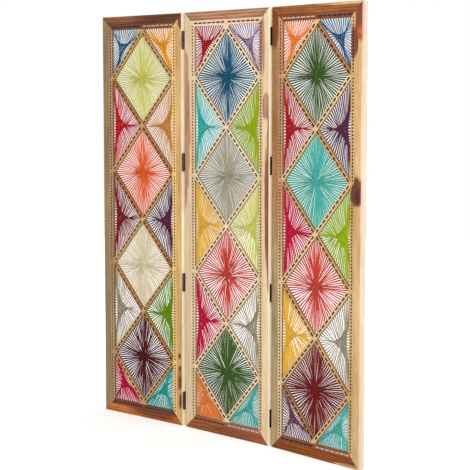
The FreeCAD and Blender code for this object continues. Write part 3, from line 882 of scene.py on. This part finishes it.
YARN_PLAN = {
    Panel.LEFT: PanelYarns(
        diamonds=(Yarn.PALE_LIME, Yarn.VERMILION, Yarn.IVORY, Yarn.PLUM),
        left=(Yarn.NAVY, Yarn.CRIMSON, Yarn.BURGUNDY, Yarn.ASH, Yarn.MAGENTA),
        right=(Yarn.AMBER, Yarn.COPPER, Yarn.DARK_PURPLE, Yarn.LEAF, Yarn.TEAL),
    ),
    Panel.MIDDLE: PanelYarns(
        diamonds=(Yarn.PETROL, Yarn.STONE, Yarn.RED, Yarn.BOTTLE),
        left=(Yarn.DARK_RED, Yarn.AQUA, Yarn.GOLD, Yarn.MAGENTA, Yarn.TANGERINE),
        right=(Yarn.MAUVE, Yarn.LIME, Yarn.PALE_LIME, Yarn.ASH, Yarn.LAGOON),
    ),
    Panel.RIGHT: PanelYarns(
        diamonds=(Yarn.FOREST, Yarn.TURQUOISE, Yarn.RED, Yarn.MAROON),
        left=(Yarn.ORANGE, Yarn.DARK_RED, Yarn.MAGENTA, Yarn.GOLD, Yarn.PURPLE),
        right=(Yarn.NAVY, Yarn.DARK_PURPLE, Yarn.LIME, Yarn.ASH, Yarn.LAGOON),
    ),
}


@dataclass
class YarnWork:
    """All the yarn on the screen: one piece in every cell, with lengths in metres."""

    lattice: Lattice
    bend_radius: float = 0.0022
    bend_points: int = 2
    sides: int = 5
    stray: float = 0.0022

    def __post_init__(self) -> None:
        """Builds what every yarn uses."""
        self.tree = StrandTree()
        self.materials = {yarn: yarn.value.material(f"{yarn.name.lower()}_yarn") for yarn in Yarn}
        self.count = 0

    def line(self, name: str, panel: Panel, points: list[PathPoint]) -> bpy.types.Object:
        """Lays a yarn's path out in its panel.

        Args:
            name: what the piece is called.
            panel: the panel that the yarn is in.
            points: the points that it runs through, in the panel's own frame.

        Returns:
            An object whose mesh is the path alone, with the points' values as attributes.
        """
        placement = self.lattice.placement(panel)
        mesh = bpy.data.meshes.new(name)
        links = [(number, number + 1) for number in range(len(points) - 1)]
        mesh.from_pydata([placement @ point.place for point in points], links, [])
        columns = {
            "girth": [point.girth for point in points],
            "stray": [point.stray for point in points],
            # Painted light: above 0 it is painted shade of the holes, and below 0 a painted highlight.
            "painted_light": [point.light_paint for point in points],
        }
        for key, values in columns.items():
            mesh.attributes.new(key, "FLOAT", "POINT").data.foreach_set("value", values)
        piece = bpy.data.objects.new(name, mesh)
        bpy.context.scene.collection.objects.link(piece)
        return piece

    def strand(self, name: str, panel: Panel, rows: list[Row], yarn: Yarn) -> bpy.types.Object:
        """Winds one cell.

        Args:
            name: what the piece is called.
            panel: the panel that the cell is in.
            rows: the rows of holes round the cell.
            yarn: the yarn that it is wound with.

        Returns:
            The finished piece.
        """
        winding = Winding(self.lattice, self.lattice.holes(rows), yarn.value)
        piece = self.line(name, panel, winding.path())
        self.count += 1
        sizes = {
            "Radius": winding.free_radius,
            "Bend radius": self.bend_radius,
            "Bend points": self.bend_points,
            "Sides": self.sides,
            "Stray": self.stray,
            "Seed": self.count,
            "Material": self.materials[yarn],
        }
        self.tree.swept(piece, sizes)
        return piece

    def finish(self, piece: bpy.types.Object, panel: Panel, web: str, slot: str) -> None:
        """Ties a piece to the frame.

        Args:
            piece: the yarn.
            panel: the panel that it moves with.
            web: the solid that it stands for.
            slot: the record's slot that its finish belongs to; not used.
        """
        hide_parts(panel.node(web))
        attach(piece, panel.body)
        LOG.info("%s: %d faces", piece.name, len(piece.data.polygons))

    def build(self) -> None:
        """Winds every cell of every panel."""
        for panel, plan in YARN_PLAN.items():
            for index, yarn in enumerate(plan.diamonds):
                name = panel.node(f"diamond_{index + 1}_yarn")
                piece = self.strand(name, panel, self.lattice.diamond_rows(index), yarn)
                self.finish(piece, panel, "diamond_webs", "diamond_yarn")
            for word, side, yarns in (("left", -1, plan.left), ("right", 1, plan.right)):
                for index, yarn in enumerate(yarns):
                    name = panel.node(f"{word}_cell_{index + 1}_yarn")
                    piece = self.strand(name, panel, self.lattice.side_rows(index, side), yarn)
                    self.finish(piece, panel, f"{word}_webs", "triangle_yarn")


@dataclass(frozen=True)
class Patch:
    """A stretch of wood in another tone, such as heartwood, sapwood, a knot or painted light on a stile's
    side face.

    The middle and the reach are across the panel and up, in metres, in the panel's own frame. The fray is
    how ragged the outline is, the edge how much of the reach it takes to fade, and the figure how strongly
    the grain shows.
    """

    middle: Flat
    reach: Flat
    tone: Rgb
    fray: float = 0.35
    strength: float = 1.0
    edge: float = 0.3
    figure: float = 0.4


@dataclass(frozen=True)
class WoodFinish:
    """Oiled wood with rings, fibres and pores that run along the piece.

    Where a piece is given dark sides, its side faces are painted darker than its front and back. Each
    pattern is laid out along the grain first and then twice across it, and a piece's seed shifts it that
    way by one of its parts. A share is how much a pattern adds to the tone, and a span is the part of a
    pattern over which something changes.
    """

    pale: Rgb
    dark: Rgb
    patches: tuple[Patch, ...] = ()
    seed_parts: Triple = (1.0, 3.0, 7.0)
    # The side faces' darker tone, how much of it shows, and how near the front and back it fades out.
    side_face_tone: Rgb = (104, 80, 56)
    side_face_share: float = 0.75
    side_face_inset: float = 0.0006
    drift: Noise = Noise((3.5, 22.0, 22.0), 4.0)
    drift_share: float = 1.1
    mottle: Noise = Noise((22.0, 95.0, 95.0), 3.0)
    mottle_share: float = 0.5
    ring_stretch: Triple = (0.09, 0.7, 1.0)
    ring_scale: float = 26.0
    ring_bend: float = 5.5
    ring_detail: float = 3.0
    ring_detail_scale: float = 1.4
    ring_share: float = 0.2
    fibres: Noise = Noise((26.0, 480.0, 480.0), 4.0)
    fibre_share: float = 0.45
    fibre_span: Flat = (0.25, 0.75)
    pores: Noise = Noise((85.0, 1500.0, 1500.0), 2.0)
    pore_span: Flat = (0.60, 0.70)
    pore_share: float = 0.3
    pore_shade: float = 0.45
    pore_depth_share: float = 0.6
    tone_span: Flat = (0.75, 1.5)
    fray: Noise = Noise((11.0, 60.0, 60.0), 4.0)
    figure_shares: Flat = (0.45, -0.55)
    roughness: Flat = (0.5, 0.7)
    gloss: float = 0.2
    relief: float = 0.35
    relief_depth: float = 0.0004

    def rings(self, surface: Surface, lay: Socket) -> Socket:
        """Gives the year rings.

        Args:
            surface: the material's node tree.
            lay: coordinates whose x runs along the grain.

        Returns:
            The rings' level from 0 to 1.
        """
        feeds = {
            "Vector": surface.scaled(lay, self.ring_stretch),
            "Scale": self.ring_scale,
            "Distortion": self.ring_bend,
            "Detail": self.ring_detail,
            "Detail Scale": self.ring_detail_scale,
        }
        return surface.node("ShaderNodeTexWave", feeds, bands_direction="Z").outputs["Fac"]

    def tone(self, surface: Surface, lay: Socket, fibres: Socket) -> Socket:
        """Gives how dark the wood is at each point.

        Args:
            surface: the material's node tree.
            lay: coordinates whose x runs along the grain.
            fibres: the fibres' level.

        Returns:
            A share from 0, pale, to 1, dark.
        """
        drift = surface.math("MULTIPLY", surface.noise(lay, self.drift), self.drift_share)
        tone = surface.math("MULTIPLY_ADD", self.rings(surface, lay), self.ring_share, drift)
        tone = surface.math("MULTIPLY_ADD", surface.noise(lay, self.mottle), self.mottle_share, tone)
        tone = surface.math("MULTIPLY_ADD", fibres, self.fibre_share, tone)
        return surface.span(tone, *self.tone_span)

    def patch_share(self, surface: Surface, patch: Patch, place: Matrix, lay: Socket) -> Socket:
        """Gives how much of a patch shows at each point.

        Args:
            surface: the material's node tree.
            patch: the patch.
            place: the panel's place in the screen.
            lay: coordinates whose x runs along the grain.

        Returns:
            A share from 0 to 1 with a frayed edge.
        """
        middle = place @ Vector((patch.middle[0], 0.0, patch.middle[1]))
        away = surface.vector("SUBTRACT", "Vector", surface.place(), tuple(middle))
        stretch = (1 / patch.reach[0], 0.0, 1 / patch.reach[1])
        distance = surface.vector("LENGTH", "Value", surface.scaled(away, stretch))
        frayed = surface.math("MULTIPLY_ADD", surface.noise(lay, self.fray), 2 * patch.fray, distance)
        middle_line = 1 + patch.fray
        half = patch.edge / 2
        return surface.span(frayed, middle_line - half, middle_line + half, patch.strength, 0.0)

    def side_face_part(self, surface: Surface, place: Matrix, faces: Flat) -> Socket:
        """Gives how much of the side faces' darker tone shows at each point.

        Args:
            surface: the material's node tree.
            place: the panel's place in the screen.
            faces: the depths of the front and back in the panel's own frame, in metres.

        Returns:
            A share that is 0 on the front and back.
        """
        inward = place.to_3x3() @ Vector((0.0, 1.0, 0.0))
        depth = surface.vector("DOT_PRODUCT", "Value", surface.place(), tuple(inward))
        middle = inward.dot(place.translation) + sum(faces) / 2
        away = surface.math("ABSOLUTE", surface.math("SUBTRACT", depth, middle))
        half = (faces[1] - faces[0]) / 2
        return surface.span(away, half - 2 * self.side_face_inset, half - self.side_face_inset, self.side_face_share, 0.0)

    def material(
        self, name: str, grain: float, place: Matrix, seed: float, dark_sides: Flat | None = None
    ) -> bpy.types.Material:
        """Builds the material of one piece.

        Args:
            name: what the material is called.
            grain: the angle of the grain above the floor, in radians.
            place: the panel's place in the screen.
            seed: a shift of the pattern, so that no two pieces are alike.
            dark_sides: the depths of the front and back, for a piece whose side faces are painted darker.

        Returns:
            The material.
        """
        surface = Surface(name)
        shift = tuple(seed / part for part in self.seed_parts)
        turned = {"Vector": surface.place(), "Rotation": (0.0, grain, 0.0), "Location": shift}
        lay = surface.node("ShaderNodeMapping", turned).outputs["Vector"]
        fibres = surface.noise(lay, self.fibres)
        pores = surface.span(surface.noise(lay, self.pores), *self.pore_span)
        share = self.tone(surface, lay, fibres)
        colour = surface.mix(share, linear(self.pale), linear(self.dark))
        for patch in self.patches:
            tones = [shaded(patch.tone, 1 + patch.figure * lift) for lift in self.figure_shares]
            inner = surface.mix(share, *map(linear, tones))
            colour = surface.mix(self.patch_share(surface, patch, place, lay), colour, inner)
        # The side faces of laths and strips are painted darker than their front and back.
        if dark_sides:
            colour = surface.mix(self.side_face_part(surface, place, dark_sides), colour, linear(self.side_face_tone))
        pore_part = surface.math("MULTIPLY", pores, self.pore_share)
        colour = surface.mix(pore_part, colour, linear(shaded(self.dark, self.pore_shade)))
        surface.feed(
            {
                "Base Color": colour,
                "Roughness": surface.span(fibres, *self.fibre_span, *self.roughness),
                "Specular IOR Level": self.gloss,
            }
        )
        pits = surface.math("MULTIPLY", pores, self.pore_depth_share)
        surface.relief(surface.math("SUBTRACT", fibres, pits), self.relief, self.relief_depth)
        return surface.material


HEART: Rgb = (112, 64, 40)
KNOT: Rgb = (106, 60, 32)
STREAK: Rgb = (142, 84, 56)
# Painted light: pale patches on a stile's outer side face, for the strong light on the right panel's end
# face and in the seams.
LIT_END_FACE = Patch((0.262, 0.90), (0.0135, 4.0), (235, 214, 193), fray=0.02, figure=0.08)
LIT_SEAM_FACE = Patch((0.262, 0.90), (0.0135, 4.0), (253, 236, 206), fray=0.02, figure=0.08)
HONEY = WoodFinish((222, 182, 124), (184, 136, 84))
CREAM = WoodFinish((246, 224, 188), (224, 192, 152))

WOODS = {
    Panel.LEFT: {
        "left_stile": WoodFinish((162, 137, 96), (130, 105, 68)),
        "right_stile": WoodFinish(
            (228, 190, 128),
            (190, 142, 84),
            (
                Patch((0.246, 1.790), (0.018, 0.060), HEART),
                Patch((0.232, 0.308), (0.008, 0.014), KNOT, edge=0.5),
                Patch((0.234, 0.252), (0.008, 0.016), KNOT, edge=0.5),
                Patch((0.230, 0.197), (0.017, 0.046), (158, 102, 58), fray=0.5, strength=0.9, edge=0.5),
                Patch((0.233, 0.188), (0.008, 0.030), KNOT, fray=0.5, edge=0.5),
                Patch((0.236, 0.108), (0.009, 0.038), KNOT, fray=0.5, edge=0.5),
                LIT_SEAM_FACE,
            ),
        ),
        "top_rail": WoodFinish(
            (116, 68, 44),
            (78, 44, 27),
            (Patch((-0.130, 1.785), (0.130, 0.018), (152, 92, 64), fray=0.5, strength=0.8, edge=0.9),),
            ring_share=0.45,
        ),
        "bottom_rail": WoodFinish(
            (226, 135, 60),
            (162, 87, 38),
            (Patch((0.080, 0.026), (0.150, 0.020), (108, 56, 28), fray=0.5, strength=0.8, edge=0.9),),
            ring_share=0.45,
        ),
        "left_lath": WoodFinish((196, 164, 124), (152, 120, 86)),
        "right_lath": WoodFinish((254, 214, 140), (230, 184, 112)),
        "top_lath": WoodFinish((130, 78, 54), (94, 52, 36)),
        "bottom_lath": WoodFinish((134, 82, 58), (100, 58, 40)),
        "rising_long_strips": HONEY,
        "rising_short_strips": HONEY,
        "falling_long_strips": WoodFinish((206, 146, 84), (158, 98, 50)),
        "falling_short_strips": HONEY,
    },
    Panel.MIDDLE: {
        "left_stile": WoodFinish(
            (232, 210, 174),
            (206, 178, 138),
            (Patch((-0.244, 1.30), (0.026, 0.34), (168, 116, 84), fray=0.4, strength=0.9, edge=0.2),),
        ),
        "right_stile": WoodFinish(
            (240, 216, 178),
            (216, 186, 144),
            (
                Patch((0.235, 1.400), (0.030, 0.056), (170, 120, 94), fray=0.45, strength=0.9, edge=0.4),
                Patch((0.248, 1.28), (0.007, 0.100), STREAK, fray=0.3, edge=0.5),
                Patch((0.243, 1.00), (0.018, 0.250), STREAK, fray=0.35, edge=0.5),
                Patch((0.247, 0.74), (0.007, 0.110), STREAK, fray=0.3, edge=0.5),
                Patch((0.218, 1.65), (0.007, 0.120), (176, 134, 116), fray=0.2, strength=0.85),
                LIT_SEAM_FACE,
            ),
        ),
        "top_rail": WoodFinish((202, 150, 114), (148, 102, 74), ring_share=0.45),
        "bottom_rail": WoodFinish((182, 108, 60), (126, 69, 37), ring_share=0.45),
        "left_lath": WoodFinish((236, 210, 172), (212, 182, 138)),
        "right_lath": WoodFinish(
            (224, 196, 148),
            (198, 164, 115),
            (Patch((0.200, 1.66), (0.020, 0.12), (160, 112, 94), fray=0.4, strength=0.8),),
        ),
        "top_lath": WoodFinish((248, 218, 186), (226, 188, 154)),
        "bottom_lath": WoodFinish((170, 108, 78), (134, 80, 56)),
        "rising_long_strips": CREAM,
        "rising_short_strips": CREAM,
        "falling_long_strips": CREAM,
        "falling_short_strips": CREAM,
    },
    Panel.RIGHT: {
        "left_stile": WoodFinish(
            (178, 132, 84),
            (143, 98, 56),
            (
                Patch((-0.236, 0.42), (0.050, 0.52), (162, 140, 99), fray=0.4, edge=0.6),
                Patch((-0.236, 1.74), (0.030, 0.105), (116, 60, 30), fray=0.2),
            ),
        ),
        "right_stile": WoodFinish(
            (224, 190, 134),
            (186, 148, 98),
            (
                Patch((0.236, 1.728), (0.044, 0.078), (126, 68, 40), fray=0.35, edge=0.4),
                Patch((0.215, 1.655), (0.014, 0.060), (112, 62, 38), fray=0.35, edge=0.4),
                Patch((0.237, 1.684), (0.013, 0.018), (204, 96, 44), fray=0.1, strength=0.9, edge=1.3),
                Patch((0.225, 1.082), (0.034, 0.056), (104, 60, 38), fray=0.6),
                Patch((0.231, 1.064), (0.013, 0.028), (80, 42, 27), fray=0.6),
                LIT_END_FACE,
            ),
        ),
        "top_rail": WoodFinish(
            (172, 103, 52),
            (116, 65, 32),
            (Patch((0.160, 1.800), (0.160, 0.010), (214, 170, 116), fray=0.4, strength=0.85),),
            ring_share=0.45,
        ),
        "bottom_rail": WoodFinish(
            (168, 91, 26),
            (114, 57, 14),
            (Patch((0.190, 0.004), (0.080, 0.010), (222, 176, 112), fray=0.4, strength=0.85),),
            ring_share=0.45,
        ),
        "left_lath": WoodFinish(
            (214, 162, 120),
            (170, 120, 84),
            (Patch((-0.202, 0.34), (0.050, 0.46), (226, 198, 156), fray=0.4, edge=0.8, figure=0.2),),
        ),
        "right_lath": WoodFinish(
            (222, 182, 128),
            (182, 140, 90),
            (
                Patch((0.202, 1.645), (0.022, 0.062), (116, 68, 44), fray=0.4, edge=0.5),
                Patch((0.214, 1.070), (0.020, 0.040), (112, 66, 42), fray=0.5, edge=0.5),
            ),
        ),
        "top_lath": WoodFinish((144, 84, 54), (108, 60, 38)),
        "bottom_lath": WoodFinish((152, 92, 54), (116, 66, 38)),
        "rising_long_strips": WoodFinish((234, 205, 160), (206, 169, 122)),
        "rising_short_strips": WoodFinish((234, 192, 138), (206, 156, 104)),
        "falling_long_strips": WoodFinish((218, 172, 118), (182, 132, 82)),
        "falling_short_strips": WoodFinish((198, 142, 92), (150, 100, 62)),
    },
}


def dress(node: str, material: bpy.types.Material) -> None:
    """Gives one of the frame's solids a material.

    Args:
        node: the solid's name.
        material: what it is dressed in.
    """
    solid = frame["nodes"][node]
    if not solid.material_slots:
        solid.data.materials.append(material)
    for slot in solid.material_slots:
        slot.material = material
    LOG.info("%s: %s", node, material.name)


@dataclass
class Joinery:
    """The wooden frames and lattices, dressed piece by piece."""

    lattice: Lattice
    seed_step: float = 1.37
    tongue_grain: float = math.pi / 4

    def grain(self, piece: str) -> float:
        """Gives the way of a piece's grain, which runs along it.

        Args:
            piece: the piece's name in its panel.

        Returns:
            The angle of the grain above the floor, in radians.
        """
        if "rising" in piece:
            return self.lattice.strip_angle
        if "falling" in piece:
            return -self.lattice.strip_angle
        upright = piece in ("left_stile", "right_stile", "left_lath", "right_lath")
        return math.pi / 2 if upright else 0.0

    def build(self) -> None:
        """Makes and assigns the materials of every wooden piece."""
        seed = 0.0
        slats = (self.lattice.slat_front, self.lattice.slat_back)
        for panel, woods in WOODS.items():
            place = self.lattice.placement(panel)
            for piece, wood in woods.items():
                seed += self.seed_step
                name = panel.node(piece)
                # Laths and strips get side faces painted darker than their front and back.
                dark_sides = slats if piece.endswith(("lath", "strips")) else None
                dress(name, wood.material(name, self.grain(piece), place, seed, dark_sides))
            name = panel.node("corner_tongues")
            dress(name, CREAM.material(name, self.tongue_grain, place, seed))


@dataclass(frozen=True)
class SteelFinish:
    """Dull steel with fine brushing and a little tarnish in clouds."""

    colour: Rgb
    tarnish: Rgb
    brush: Noise
    brush_span: Flat = (0.2, 0.8)
    clouds: Noise = Noise((90.0, 90.0, 90.0), 4.0)
    cloud_span: Flat = (0.45, 0.75)
    roughness: Flat = (0.34, 0.58)
    relief: float = 0.2
    relief_depth: float = 0.0001

    def material(self, name: str) -> bpy.types.Material:
        """Builds the material of one kind of piece.

        Args:
            name: what the material is called.

        Returns:
            The material.
        """
        surface = Surface(name)
        brush = surface.noise(surface.place(), self.brush)
        tarnished = surface.span(surface.noise(surface.place(), self.clouds), *self.cloud_span)
        surface.feed(
            {
                "Base Color": surface.mix(tarnished, linear(self.colour), linear(self.tarnish)),
                "Metallic": 1.0,
                "Roughness": surface.span(brush, *self.brush_span, *self.roughness),
            }
        )
        surface.relief(brush, self.relief, self.relief_depth)
        return surface.material


@dataclass
class Hinges:
    """The steel hinges of both seams, dressed by kind of piece."""

    leaf: SteelFinish = SteelFinish((76, 65, 60), (46, 38, 34), Noise((220.0, 220.0, 2400.0), 3.0))
    pin: SteelFinish = SteelFinish((106, 94, 86), (66, 56, 50), Noise((2400.0, 2400.0, 160.0), 3.0))
    screw: SteelFinish = SteelFinish((120, 114, 114), (74, 68, 66), Noise((1800.0, 1800.0, 1800.0), 3.0))

    def build(self) -> None:
        """Makes and assigns the materials of every steel piece."""
        leaf = self.leaf.material("hinge_leaf_steel")
        pin = self.pin.material("hinge_pin_steel")
        screw = self.screw.material("screw_steel")
        pieces = {
            "hinge_pins": pin,
            "wing_leaves": leaf,
            "middle_leaves": leaf,
            "wing_screws": screw,
            "middle_screws": screw,
        }
        for seam in ("left", "right"):
            for piece, material in pieces.items():
                dress(f"{seam}_seam_{piece}", material)


@dataclass(frozen=True)
class Lamp:
    """A square soft lamp that faces the screen's middle; place and size in metres, power in watts."""

    name: str
    place: Triple
    size: float
    power: float


@dataclass
class Studio:
    """A plain white studio: floor, world, soft lamps and the camera.

    Lengths are in metres and the camera's angles in degrees. The floor glows, so that it looks white, but
    less within reach of the screen's shadow.
    """

    camera_place: Triple = (4.1541, -4.1253, 1.421)
    camera_yaw: float = 44.81
    camera_pitch: float = -5.45
    focal_pixels: float = 1396.0
    picture_pixels: float = 470.0
    sensor_millimetres: float = 36.0
    floor_radius: float = 9.0
    floor_drop: float = 0.0005
    floor_corners: int = 96
    floor_grain: Noise = Noise((40.0, 40.0, 40.0), 2.0)
    floor_greys: Flat = (0.80, 0.86)
    floor_roughness: float = 0.9
    floor_gloss: float = 0.1
    floor_glow: float = 0.80
    shadow_glow: float = 0.45
    shadow_reach: Flat = (1.0, 3.0)
    world_light: float = 0.47
    lamps: tuple[Lamp, ...] = (
        Lamp("key", (4.4, -3.7, 2.8), size=2.4, power=262.0),
        Lamp("fill", (-2.6, -5.2, 2.4), size=3.0, power=12.0),
        Lamp("back", (-1.5, 4.5, 3.0), size=3.0, power=70.0),
    )
    aim: Triple = (0.0, 0.0, 0.9)

    @staticmethod
    def seen_directly(graph: Graph) -> Socket:
        """Tells rays that show a thing itself from those that only gather light.

        Args:
            graph: the node tree that asks.

        Returns:
            1 for rays that show it in the picture, in gloss or through glass, and 0 for others.
        """
        path = graph.node("ShaderNodeLightPath").outputs
        direct = graph.math("MAXIMUM", path["Is Camera Ray"], path["Is Glossy Ray"])
        return graph.math("MAXIMUM", direct, path["Is Transmission Ray"])

    def light_world(self) -> None:
        """Makes the surroundings white to look at and softer as light."""
        world = bpy.data.worlds.new("studio")
        world.use_nodes = True
        bpy.context.scene.world = world
        graph = Graph(world.node_tree)
        background = world.node_tree.nodes["Background"]
        strength = graph.span(self.seen_directly(graph), 0.0, 1.0, self.world_light, 1.0)
        graph.plug(background, {"Color": WHITE, "Strength": strength})

    def lay_floor(self) -> None:
        """Makes a round pale floor that looks white and keeps a soft shadow."""
        mesh = bpy.data.meshes.new("floor")
        shape = bmesh.new()
        bmesh.ops.create_circle(shape, cap_ends=True, segments=self.floor_corners, radius=self.floor_radius)
        bmesh.ops.translate(shape, verts=shape.verts, vec=(0.0, 0.0, -self.floor_drop))
        shape.to_mesh(mesh)
        shape.free()
        floor = bpy.data.objects.new("floor", mesh)
        bpy.context.scene.collection.objects.link(floor)
        surface = Surface("floor_paper")
        dark, pale = [(grey, grey, grey, 1.0) for grey in self.floor_greys]
        away = surface.vector("LENGTH", "Value", surface.place())
        level = surface.span(away, *self.shadow_reach, self.shadow_glow, self.floor_glow)
        surface.feed(
            {
                "Base Color": surface.mix(surface.noise(surface.place(), self.floor_grain), dark, pale),
                "Roughness": self.floor_roughness,
                "Specular IOR Level": self.floor_gloss,
                "Emission Color": WHITE,
                "Emission Strength": surface.math("MULTIPLY", self.seen_directly(surface), level),
            }
        )
        mesh.materials.append(surface.material)

    def hang_lamps(self) -> None:
        """Hangs the soft lamps and turns them to the screen."""
        for lamp in self.lamps:
            data = bpy.data.lights.new(lamp.name, "AREA")
            data.size = lamp.size
            data.energy = lamp.power
            made = bpy.data.objects.new(lamp.name, data)
            made.location = lamp.place
            way = Vector(self.aim) - Vector(lamp.place)
            made.rotation_euler = way.to_track_quat("-Z", "Y").to_euler()
            bpy.context.scene.collection.objects.link(made)

    def set_camera(self) -> None:
        """Puts the camera where the picture was taken from."""
        data = bpy.data.cameras.new("camera")
        data.sensor_width = self.sensor_millimetres
        data.lens = self.focal_pixels / self.picture_pixels * self.sensor_millimetres
        camera = bpy.data.objects.new("camera", data)
        camera.location = self.camera_place
        camera.rotation_euler = (math.radians(90 + self.camera_pitch), 0.0, math.radians(self.camera_yaw))
        bpy.context.scene.collection.objects.link(camera)
        bpy.context.scene.camera = camera

    def build(self) -> None:
        """Sets the whole studio up."""
        bpy.context.scene.view_settings.view_transform = "Standard"
        self.light_world()
        self.lay_floor()
        self.hang_lamps()
        self.set_camera()


def main() -> None:
    """Builds the studio, dresses the frame and winds the yarn."""
    logging.basicConfig(level=logging.INFO, format="%(name)s: %(message)s")
    lattice = Lattice.measured()
    Studio().build()
    Joinery(lattice).build()
    Hinges().build()
    YarnWork(lattice).build()


if __name__ == "__main__":
    main()
